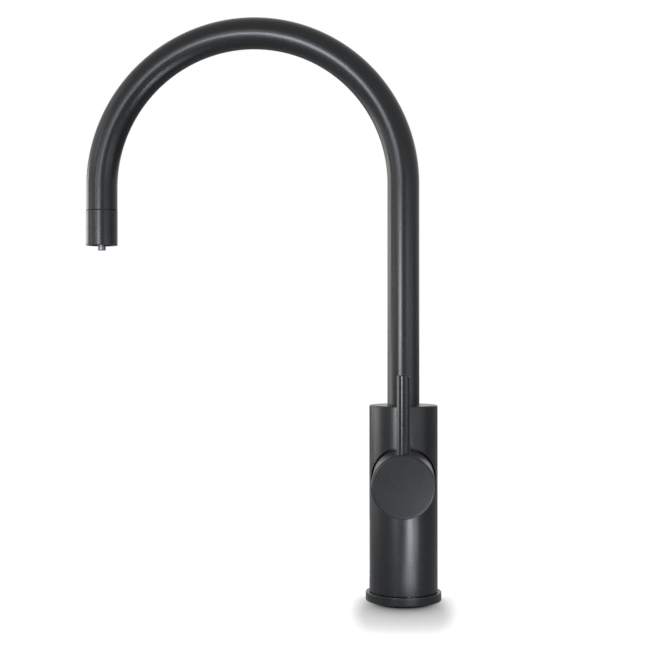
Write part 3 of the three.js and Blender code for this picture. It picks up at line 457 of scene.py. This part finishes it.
def solid(name, bm, placing=None):
    """The mesh as an object, with its faces turned outwards and its edges smooth but for the sharp ones."""
    if placing:
        bmesh.ops.transform(bm, matrix=placing, verts=bm.verts)
    bmesh.ops.recalc_face_normals(bm, faces=bm.faces)
    mesh = bpy.data.meshes.new(name)
    bm.to_mesh(mesh)
    bm.free()
    smooth(mesh)
    obj = bpy.data.objects.new(name, mesh)
    bpy.context.scene.collection.objects.link(obj)
    return obj


def smooth(mesh):
    mesh.shade_smooth()
    mesh.set_sharp_from_angle(angle=SHARP)


def carved(obj, cutters, operation="DIFFERENCE"):
    """The object with its cutters taken away, or kept to what they share."""
    for cutter in cutters:
        modifier = obj.modifiers.new("cut", "BOOLEAN")
        modifier.operation = operation
        modifier.solver = "EXACT"
        modifier.object = cutter
    graph = bpy.context.evaluated_depsgraph_get()
    mesh = bpy.data.meshes.new_from_object(obj.evaluated_get(graph))
    obj.modifiers.clear()
    obj.data = mesh
    smooth(mesh)
    for cutter in cutters:
        bpy.data.objects.remove(cutter)
    return obj


def edged(obj, width):
    """Sharp edges get a small round."""
    bevel = obj.modifiers.new("edges", "BEVEL")
    bevel.width = width
    bevel.segments = 2
    bevel.limit_method = "ANGLE"
    bevel.angle_limit = SHARP
    return obj


def placed(obj, body, *nodes, finish, slot=None):
    """Gives a piece its finish and its body, and lets it stand for its nodes."""
    obj.data.materials.clear()
    obj.data.materials.append(finishes[finish])
    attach(obj, body)
    if nodes:
        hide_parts(*nodes)
    return obj


# ------------------------------------------------------------------ sizes from the frame


def middle(node):
    low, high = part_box(node)
    return (low + high) / 2


def radius_of(node):
    low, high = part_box(node)
    return (high.x - low.x) / 2


SEAT = 0.3 * MM
SHELL_WALL = 2.5 * MM
shell_low, shell_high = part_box("body_shell")
body_radius = shell_high.x
body_top = shell_high.z
shell_foot = shell_low.z
shell_bore = body_radius - SHELL_WALL

flange_low, flange_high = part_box("base_flange")
flange_radius = flange_high.x

TUBE_RADIUS = 11.25 * MM
TUBE_WALL = 1.0 * MM
ARCH_RADIUS = 108.9 * MM
REST_SWING = -2.9
tube_low, tube_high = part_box("spout_tube")
arch_centre = tube_high.z - TUBE_RADIUS - ARCH_RADIUS
SPOUT_TURN = Matrix.Rotation(math.radians(REST_SWING), 4, "Z")
OUTLET_PLACE = SPOUT_TURN @ Matrix.Translation((-2 * ARCH_RADIUS, 0, 0))

mixer_height = middle("lever_knob").z
knob_radius = radius_of("lever_knob")
knob_low, knob_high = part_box("lever_knob")
face_distance = -knob_low.y
seam_distance = -knob_high.y
ball_centre = -middle("pivot_pin").y
BALL_GAP = 0.4 * MM
knob_hollow = math.hypot(seam_distance - ball_centre, knob_radius)
dome_radius = knob_hollow - BALL_GAP
MIXER_PLACE = Matrix.Translation((0, 0, mixer_height)) @ Matrix.Rotation(math.pi / 2, 4, "X")


def on_ball(ball_radius, radius):
    """Height on the ball about the lever's pivot, at that distance from the mixer's axis."""
    return ball_centre + math.sqrt(ball_radius ** 2 - radius ** 2)


# ------------------------------------------------------------------ base

GASKET_WIDTH = 2.0 * MM
GASKET_INSET = 1.0 * MM
PLATE_THICKNESS = 8.0 * MM
PLATE_DRAW_IN = 0.6 * MM
HOSE_SOCKET = 4.7 * MM
STUD_SOCKET = 3.4 * MM
CABLE_PORT = 3.0 * MM
CABLE_BORE = 1.7 * MM
SCREW_HOLE = 1.8 * MM
SCREW_SEAT = 3.1 * MM
SCREW_SEAT_TOP = 2.6 * MM
SCREW_SHANK = 1.5 * MM
SCREW_HEAD_HEIGHT = 2 * MM
SCREW_KEY = 1.35 * MM
SCREW_KEY_DEPTH = 1.2 * MM
hose_sockets = [(-10.5 * MM, 10.5 * MM), (10.5 * MM, 10.5 * MM), (0.0, 14.0 * MM)]
stud_sockets = [(side * 12.96 * MM, -6.04 * MM) for side in (-1, 1)]


def ring(inner, outer, low, high, edge, segments=SEGMENTS):
    """A flat ring or a short pipe, with all four edges rounded."""
    corners = [(inner, low, edge), (outer, low, edge), (outer, high, edge), (inner, high, edge)]
    return revolved(rounded(corners), segments)


def base_flange():
    """Wide ring with the gasket's groove below."""
    plate_radius = shell_bore - PLATE_DRAW_IN
    gasket_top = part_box("base_gasket")[1].z + SEAT
    groove_outer = flange_radius - GASKET_INSET
    groove_inner = groove_outer - GASKET_WIDTH - 2 * SEAT
    low, high = flange_low.z, flange_high.z
    foot_edge, top_edge, bore_edge = 0.5 * MM, 0.45 * MM, 0.1 * MM
    corners = [
        (plate_radius + SEAT, low, 0), (groove_inner, low, 0), (groove_inner, gasket_top, 0),
        (groove_outer, gasket_top, 0), (groove_outer, low, 0), (flange_radius, low, foot_edge),
        (flange_radius, high, top_edge), (plate_radius + SEAT, high, bore_edge),
    ]
    flange = solid("flange", revolved(rounded(corners)))
    return placed(flange, "column", "base_flange", finish="satin_black")


def base_gasket():
    low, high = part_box("base_gasket")
    gasket = ring(high.x - GASKET_WIDTH, high.x, low.z, high.z, edge=0.2 * MM)
    return placed(solid("gasket", gasket), "column", "base_gasket", finish="black_rubber")


def base_plate():
    radius, edge, hole_edge = radius_of("base_plate"), 0.3 * MM, 0.25 * MM
    corners = [(0, 0, 0), (radius, 0, edge), (radius, PLATE_THICKNESS, edge), (0, PLATE_THICKNESS, 0)]
    plate = solid("mounting_plate", revolved(rounded(corners)))
    bottom, top = -OVERRUN, PLATE_THICKNESS + OVERRUN
    cable = middle("cable_grommet")
    holes = [(x, y, HOSE_SOCKET) for x, y in hose_sockets]
    holes += [(x, y, STUD_SOCKET) for x, y in stud_sockets]
    holes.append((cable.x, cable.y, CABLE_PORT))
    cutters = [cylinder(x, y, r, bottom, top) for x, y, r in holes]
    for name in ("base_screw_left", "base_screw_right"):
        screw = middle(name)
        cutters.append(cylinder(screw.x, screw.y, SCREW_HOLE, bottom, top))
        cutters.append(cylinder(screw.x, screw.y, SCREW_SEAT, bottom, SCREW_SEAT_TOP))
    plate = carved(plate, [solid("cutter", c) for c in cutters])
    edged(plate, hole_edge)
    return placed(plate, "column", "base_plate", finish="stainless")


def base_screw(node):
    """Socket screw up through the plate."""
    low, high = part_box(node)
    centre, head = middle(node), radius_of(node)
    head_top = low.z + SCREW_HEAD_HEIGHT
    rim, seat_edge, neck, tip = 0.35 * MM, 0.15 * MM, 0.1 * MM, 0.4 * MM
    corners = [
        (0, low.z, 0), (head, low.z, rim), (head, head_top, seat_edge),
        (SCREW_SHANK, head_top, neck), (SCREW_SHANK, high.z, tip), (0, high.z, 0),
    ]
    at = Matrix.Translation((centre.x, centre.y, 0))
    screw = solid(node + "_fine", revolved(rounded(corners), SEGMENTS_SCREW), at)
    socket = cylinder(centre.x, centre.y, SCREW_KEY, low.z - OVERRUN, low.z + SCREW_KEY_DEPTH, HEXAGON_SIDES)
    return placed(carved(screw, [solid("cutter", socket)]), "column", node, finish="stainless")


def cable_grommet():
    low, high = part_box("cable_grommet")
    centre, outer = middle("cable_grommet"), radius_of("cable_grommet")
    sleeve = ring(CABLE_BORE, outer, low.z, high.z, edge=0.3 * MM, segments=SEGMENTS_SMALL)
    grommet = solid("grommet", sleeve, Matrix.Translation((centre.x, centre.y, 0)))
    return placed(grommet, "column", "cable_grommet", finish="black_rubber")


# ------------------------------------------------------------------ column

TOP_WALL = 3 * MM
TOP_CHAMFER = 0.6 * MM
TOP_GAP = 0.45 * MM
BEARING_HEIGHT = 5 * MM
LEVER_HOLE = 18.1 * MM
ROOT_GROOVE = 1.2 * MM
ROOT_GROOVE_DEPTH = 2.1 * MM
PANEL_CORNER = 4.0 * MM
PANEL_RECESS = 0.05 * MM
PANEL_BACK = 0.15 * MM
INK = 0.02 * MM
panel_low, panel_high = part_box("touch_panel")
panel_half = panel_high.y


def panel_outline(margin):
    """Rounded rectangle of the window, in (y, z)."""
    corner, steps = PANEL_CORNER + margin, 10
    side = panel_half + margin - corner
    low, high = panel_low.z - margin + corner, panel_high.z + margin - corner
    return [
        *arc(side, high, corner, 0, 90, steps), *arc(-side, high, corner, 90, 180, steps),
        *arc(-side, low, corner, 180, 270, steps), *arc(side, low, corner, 270, 360, steps),
    ]


def panel_cutter(margin):
    """The window's outline pushed through the column's front."""
    along_x = Matrix(((0, 0, -1, 0), (1, 0, 0, 0), (0, 1, 0, 0), (0, 0, 0, 1)))
    block = extruded(panel_outline(margin), body_radius / 2, body_radius + OVERRUN)
    return solid("cutter", block, along_x)


def root_groove():
    """What the shadow groove round the barrel takes from the column's side."""
    outer = knob_radius + ROOT_GROOVE
    outline = [(knob_radius, 0), (outer, 0), (outer, 2 * body_radius), (knob_radius, 2 * body_radius)]
    groove = solid("cutter", revolved(outline, SEGMENTS_LARGE), MIXER_PLACE)
    floor = cylinder(0, 0, body_radius - ROOT_GROOVE_DEPTH, 0, body_top, SEGMENTS_LARGE)
    return carved(groove, [solid("cutter", floor)])


def body_shell():
    """Cup over the core, with its chamfered rim and a fine gap round the tube."""
    hole = TUBE_RADIUS + TOP_GAP
    seat = radius_of("bearing_ring") + SEAT
    under = body_top - TOP_WALL
    ledge = under - SEAT - BEARING_HEIGHT
    foot_edge, rim_edge, hole_edge = 0.15 * MM, 0.4 * MM, 0.12 * MM
    corners = [
        (shell_bore, shell_foot, 0), (body_radius, shell_foot, foot_edge),
        (body_radius, body_top - TOP_CHAMFER, rim_edge), (body_radius - TOP_CHAMFER, body_top, rim_edge),
        (hole, body_top, hole_edge), (hole, under, 0), (seat, under, 0),
        (seat, ledge, 0), (shell_bore, ledge, 0),
    ]
    shell = solid("column_shell", revolved(rounded(corners), SEGMENTS_LARGE))
    lever_hole = solid("cutter", cylinder(0, 0, LEVER_HOLE, 0, 2 * body_radius), MIXER_PLACE)
    carved(shell, [lever_hole, root_groove(), panel_cutter(SEAT)])
    return placed(shell, "column", "body_shell", finish="satin_black")


def touch_panel():
    outer, inner = body_radius - PANEL_RECESS, shell_bore + PANEL_BACK
    low, high = panel_low.z - OVERRUN, panel_high.z + OVERRUN
    outline = [(inner, low), (outer, low), (outer, high), (inner, high)]
    bent = solid("window", revolved(outline, SEGMENTS_WINDOW))
    carved(bent, [panel_cutter(0.0)], "INTERSECT")
    edged(bent, width=0.12 * MM)
    return placed(bent, "column", "touch_panel", finish="panel_black")


def panel_marks():
    """Plain printed marks low on the window: a ring with a dot, and a bar under them."""
    window_radius = body_radius - PANEL_RECESS

    def wrapped(name, bm):
        """Bends a flat mark, drawn as (sideways, up, thickness), onto the window."""
        for v in bm.verts:
            turn = math.pi + v.co.x / window_radius
            reach = window_radius + v.co.z
            v.co = Vector((reach * math.cos(turn), reach * math.sin(turn), v.co.y))
        return placed(solid(name, bm), "column", finish="print_white", slot="panel_black")

    ring_height, bar_height = 24.5 * MM, 17.6 * MM
    ring_outer, ring_inner, dot = 4.4 * MM, 3.5 * MM, 1.0 * MM
    up = Matrix.Translation((0, ring_height, 0))
    for name, outline in (
        ("mark_ring", [(ring_inner, 0), (ring_outer, 0), (ring_outer, INK), (ring_inner, INK)]),
        ("mark_dot", [(0, 0), (dot, 0), (dot, INK), (0, INK)]),
    ):
        bm = revolved(outline, SEGMENTS_SMALL)
        bmesh.ops.transform(bm, matrix=up, verts=bm.verts)
        wrapped(name, bm)
    half, thick, steps = 3.6 * MM, 0.5 * MM, 16
    across = [-half + 2 * half * k / steps for k in range(steps + 1)]
    outline = [(x, bar_height - thick) for x in across] + [(-x, bar_height + thick) for x in across]
    wrapped("mark_bar", extruded(outline, 0, INK))


# ------------------------------------------------------------------ spout

COLLAR_SEAM = 0.4 * MM
COLLAR_PROUD = 0.12 * MM
COLLAR_LIP = 1.3 * MM
TUBE_STEP = 3 * MM
tube_bore = TUBE_RADIUS - TUBE_WALL
collar_low, collar_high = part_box("outlet_collar")


def bent_along_arch(bm):
    """Bends a straight upright tube over the arch: its height becomes the way along the centreline."""
    turn_end = arch_centre + math.pi * ARCH_RADIUS
    for v in bm.verts:
        x, y, way = v.co
        if way <= arch_centre:
            continue
        if way >= turn_end:
            v.co = Vector((-2 * ARCH_RADIUS - x, y, arch_centre - (way - turn_end)))
            continue
        angle = (way - arch_centre) / ARCH_RADIUS
        reach = ARCH_RADIUS + x
        v.co = Vector((reach * math.cos(angle) - ARCH_RADIUS, y, arch_centre + reach * math.sin(angle)))
    return bm


def spout_tube():
    way_end = arch_centre + math.pi * ARCH_RADIUS + (arch_centre - collar_high.z - COLLAR_SEAM)
    edge = 0.2 * MM
    corners = [
        (tube_bore, tube_low.z, edge), (TUBE_RADIUS, tube_low.z, edge),
        (TUBE_RADIUS, way_end, edge), (tube_bore, way_end, edge),
    ]
    tube = bent_along_arch(revolved(stepped(rounded(corners), TUBE_STEP), SEGMENTS_TUBE))
    return placed(solid("arched_tube", tube, SPOUT_TURN), "spout", "spout_tube", finish="satin_black")


def outlet_collar():
    low, high = collar_low.z, collar_high.z
    outer, lip, lip_top = TUBE_RADIUS + COLLAR_PROUD, tube_bore - COLLAR_LIP, low + COLLAR_LIP
    fine_edge, foot_edge = 0.2 * MM, 0.4 * MM
    corners = [
        (tube_bore, high, 0), (tube_bore, lip_top, 0), (lip, lip_top, 0),
        (lip, low, fine_edge), (outer, low, foot_edge), (outer, high, fine_edge),
    ]
    collar = revolved(rounded(corners), SEGMENTS_OUTLET)
    return placed(solid("collar", collar, OUTLET_PLACE), "spout", "outlet_collar", finish="satin_black")


def polar_plate(radii, turns, is_open, low, high):
    """A flat round plate on a grid of radii and turns, with the open cells cut right through."""
    bm = bmesh.new()
    count = len(turns)
    level = {}
    for z in (low, high):
        for i, r in enumerate(radii):
            for j, t in enumerate(turns):
                level[i, j, z] = bm.verts.new((r * math.cos(t), r * math.sin(t), z))

    def open_at(i, j):
        return not 0 <= i < len(radii) - 1 or is_open(i, j % count)

    for i in range(len(radii) - 1):
        for j in range(count):
            if open_at(i, j):
                continue
            k = (j + 1) % count
            for z in (low, high):
                bm.faces.new([level[i, j, z], level[i + 1, j, z], level[i + 1, k, z], level[i, k, z]])
            for beside, (a, b) in (
                ((i - 1, j), ((i, j), (i, k))), ((i + 1, j), ((i + 1, j), (i + 1, k))),
                ((i, j - 1), ((i, j), (i + 1, j))), ((i, j + 1), ((i, k), (i + 1, k))),
            ):
                if open_at(*beside):
                    bm.faces.new([level[*a, low], level[*b, low], level[*b, high], level[*a, high]])
    for v in [v for v in bm.verts if not v.link_faces]:
        bm.verts.remove(v)
    return bm


def aerator():
    """Flow straightener: two rows of cells round the boiling nozzle."""
    low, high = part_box("aerator_body")
    outer, hub = tube_bore - SEAT, 3.15 * MM
    rim, web, cells = 1.2 * MM, 0.8 * MM, 10
    inner, far = hub + web, outer - rim
    row = (far - inner - web) / 2
    radii = [hub, inner, inner + row, inner + row + web, far, outer]
    open_rows, steps = (1, 3), 5
    half_web = web / 2 / (inner + row)
    width = 2 * math.pi / cells - 2 * half_web
    turns = []
    for cell in range(cells):
        start = 2 * math.pi * (cell - 0.5) / cells + half_web
        turns += [start + width * k / steps for k in range(steps + 1)]

    def is_cell(i, j):
        return i in open_rows and j % (steps + 1) < steps

    plate = polar_plate(radii, turns, is_cell, low.z, high.z)
    made = edged(solid("flow_straightener", plate, OUTLET_PLACE), width=0.1 * MM)
    return placed(made, "spout", "aerator_body", finish="grey_plastic")


def boiling_nozzle():
    """Bare tip of the boiling line, with a slimmer stem above."""
    low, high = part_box("boiling_nozzle")
    outer, bore, bore_edge, tip_edge = 2.85 * MM, 1.9 * MM, 0.25 * MM, 0.3 * MM
    stem, stem_bore, stem_length, stem_bore_depth = 1.5 * MM, 0.8 * MM, 5 * MM, 8 * MM
    shoulder, step = high.z - stem_length, high.z - stem_bore_depth
    corners = [
        (bore, low.z, bore_edge), (outer, low.z, tip_edge), (outer, shoulder, 0), (stem, shoulder, 0),
        (stem, high.z, 0), (stem_bore, high.z, 0), (stem_bore, step, 0), (bore, step, 0),
    ]
    nozzle = revolved(rounded(corners), SEGMENTS_SMALL)
    tip = solid("nozzle_tip", nozzle, OUTLET_PLACE)
    return placed(tip, "spout", "boiling_nozzle", finish="nozzle_steel", slot="stainless")


# ------------------------------------------------------------------ lever

BARREL_WALL = 3.25 * MM
BARREL_FOOT_STEP = 0.8 * MM
DOME_WALL = 1.8 * MM
DOME_SKIRT = 1.5 * MM
SLOT_HALF = 4.5 * MM
TILT = math.radians(20)
TURN_EACH_WAY = 45
KNOB_CHAMFER = 1.0 * MM
KNOB_HUB = 4.3 * MM
FACE_WALL = 1.7 * MM
KNOB_SCREW_SETBACK = 4.4 * MM
KNOB_SCREW_HOLE = 2.3 * MM
KNOB_SCREW_KEY = 1.1 * MM
KNOB_SCREW_KEY_DEPTH = 2 * MM
PIN_SINK = 4.4 * MM
PIN_HOLE_GAP = 0.2 * MM
SPIGOT_RADIUS = 2.4 * MM
SPIGOT_LENGTH = 3.8 * MM
barrel_bore = knob_radius - BARREL_WALL
pin_radius = radius_of("lever_pin")
pin_place = -middle("lever_pin").y


def lever_boss():
    """Barrel saddled on the column, with a mouth on the dome's ball."""
    column = body_radius + SEAT
    feet = (barrel_bore, knob_radius - BARREL_FOOT_STEP, knob_radius)
    mouth_edge, steps = 0.25 * MM, 6
    mouth = [barrel_bore + BARREL_WALL * k / steps for k in range(steps - 1, -1, -1)]
    lip = [(r, on_ball(dome_radius, r), 0) for r in mouth]

    def outline(angle):
        saddle = [(r, math.sqrt(column ** 2 - (r * math.cos(angle)) ** 2), 0) for r in feet]
        return rounded([*saddle, (knob_radius, on_ball(dome_radius, knob_radius), mouth_edge), *lip])

    barrel = solid("lever_barrel", revolved(outline), MIXER_PLACE)
    return placed(barrel, "column", "lever_boss", finish="satin_black")


def fan_slot():
    """Outline of the slot that the spindle sweeps in the dome when the lever tilts and turns."""
    reach = dome_radius * math.sin(TILT)
    left, right = 270 - TURN_EACH_WAY, 270 + TURN_EACH_WAY
    end_steps, far_steps = 10, 16
    left_end, right_end = arc(0, 0, reach, left, right, 1)
    return [
        *arc(0, 0, SLOT_HALF, right - 270, left - 90, end_steps),
        *arc(*left_end, SLOT_HALF, left - 90, left, end_steps),
        *arc(0, 0, reach + SLOT_HALF, left, right, far_steps)[1:-1],
        *arc(*right_end, SLOT_HALF, right, right + 90, end_steps),
    ]


def dome_cover():
    """Fixed dome over the cartridge, on the ball that the knob's hollow back runs round."""
    outer, inner = barrel_bore - SEAT, barrel_bore - SEAT - DOME_SKIRT
    outer_steps, inner_steps = 12, 8
    foot = -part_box("retaining_nut")[0].y + SEAT
    across = [outer * k / outer_steps for k in range(outer_steps + 1)]
    back = [inner * k / inner_steps for k in range(inner_steps, -1, -1)]
    outside = [(r, on_ball(dome_radius, r)) for r in across]
    inside = [(r, on_ball(dome_radius - DOME_WALL, r)) for r in back]
    outline = [*outside, (outer, foot), (inner, foot), *inside]
    dome = solid("dome", revolved(outline, SEGMENTS_OUTLET), MIXER_PLACE)
    carved(dome, [solid("cutter", extruded(fan_slot(), foot - OVERRUN, face_distance), MIXER_PLACE)])
    return placed(dome, "column", "dome_cover", finish="satin_black")


def radial_cutter(radius, low, high, place):
    """A hole that stands in the knob, along the lever's own up."""
    upright = Matrix.Translation((0, 0, place)) @ Matrix.Rotation(-math.pi / 2, 4, "X")
    return solid("cutter", cylinder(0, 0, radius, low, high), MIXER_PLACE @ upright)


def lever_knob():
    """Knob with a flat bare face, a fine edge and a hollow ball-shaped back."""
    seam_edge, face_edge, steps = 0.25 * MM, 0.6 * MM, 16
    across = [knob_radius * k / steps for k in range(steps)]
    back = [(r, on_ball(knob_hollow, r), 0) for r in across]
    corners = [
        *back, (knob_radius, seam_distance, seam_edge),
        (knob_radius, face_distance - KNOB_CHAMFER, face_edge),
        (knob_radius - KNOB_CHAMFER, face_distance, face_edge), (0, face_distance, 0),
    ]
    knob = solid("knob", revolved(rounded(corners), SEGMENTS_LARGE), MIXER_PLACE)
    hub = cylinder(0, 0, KNOB_HUB, ball_centre, face_distance - FACE_WALL)
    foot = knob_radius - PIN_SINK
    carved(knob, [
        solid("cutter", hub, MIXER_PLACE),
        radial_cutter(pin_radius + PIN_HOLE_GAP, foot - SEAT, 2 * knob_radius, pin_place),
        radial_cutter(SPIGOT_RADIUS + SEAT, foot - SPIGOT_LENGTH - SEAT, knob_radius, pin_place),
        radial_cutter(KNOB_SCREW_HOLE, -2 * knob_radius, 0, face_distance - KNOB_SCREW_SETBACK),
    ])
    return placed(knob, "lever", "lever_knob", finish="satin_black")


def knob_screw():
    """Grub screw under the knob, with a hexagon socket."""
    low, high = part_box("knob_screw")
    centre, radius = middle("knob_screw"), radius_of("knob_screw")
    rim, tip = 0.2 * MM, 0.3 * MM
    corners = [(0, low.z, 0), (radius, low.z, rim), (radius, high.z, tip), (0, high.z, 0)]
    at = Matrix.Translation((centre.x, centre.y, 0))
    screw = solid("grub_screw", revolved(rounded(corners), SEGMENTS_SCREW), at)
    key_low, key_high = low.z - OVERRUN, low.z + KNOB_SCREW_KEY_DEPTH
    socket = cylinder(centre.x, centre.y, KNOB_SCREW_KEY, key_low, key_high, HEXAGON_SIDES)
    return placed(carved(screw, [solid("cutter", socket)]), "lever", "knob_screw", finish="stainless")


def lever_pin():
    """Slim handle, on a spigot that stands in the knob."""
    low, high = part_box("lever_pin")
    foot = mixer_height + knob_radius - PIN_SINK
    foot_edge, top_edge = 0.2 * MM, 0.4 * MM
    corners = [
        (0, low.z, 0), (SPIGOT_RADIUS, low.z, foot_edge), (SPIGOT_RADIUS, foot, 0),
        (pin_radius, foot, foot_edge), (pin_radius, high.z, top_edge), (0, high.z, 0),
    ]
    at = Matrix.Translation((0, -pin_place, 0))
    pin = solid("pin", revolved(rounded(corners, 5), SEGMENTS_TUBE), at)
    return placed(pin, "lever", "lever_pin", finish="polished_black", slot="satin_black")


# ------------------------------------------------------------------ scene

make_camera()
make_world()
make_floor()
make_lights()

for row in frame["record"]["subparts"]:
    node = frame["nodes"][row["node"]]
    node.data.materials.clear()
    node.data.materials.append(finishes[row["material_slot"]])

base_flange()
base_gasket()
base_plate()
base_screw("base_screw_left")
base_screw("base_screw_right")
cable_grommet()
body_shell()
touch_panel()
panel_marks()
spout_tube()
outlet_collar()
aerator()
boiling_nozzle()
lever_boss()
dome_cover()
lever_knob()
knob_screw()
lever_pin()

bpy.context.scene.view_settings.view_transform = "Standard"
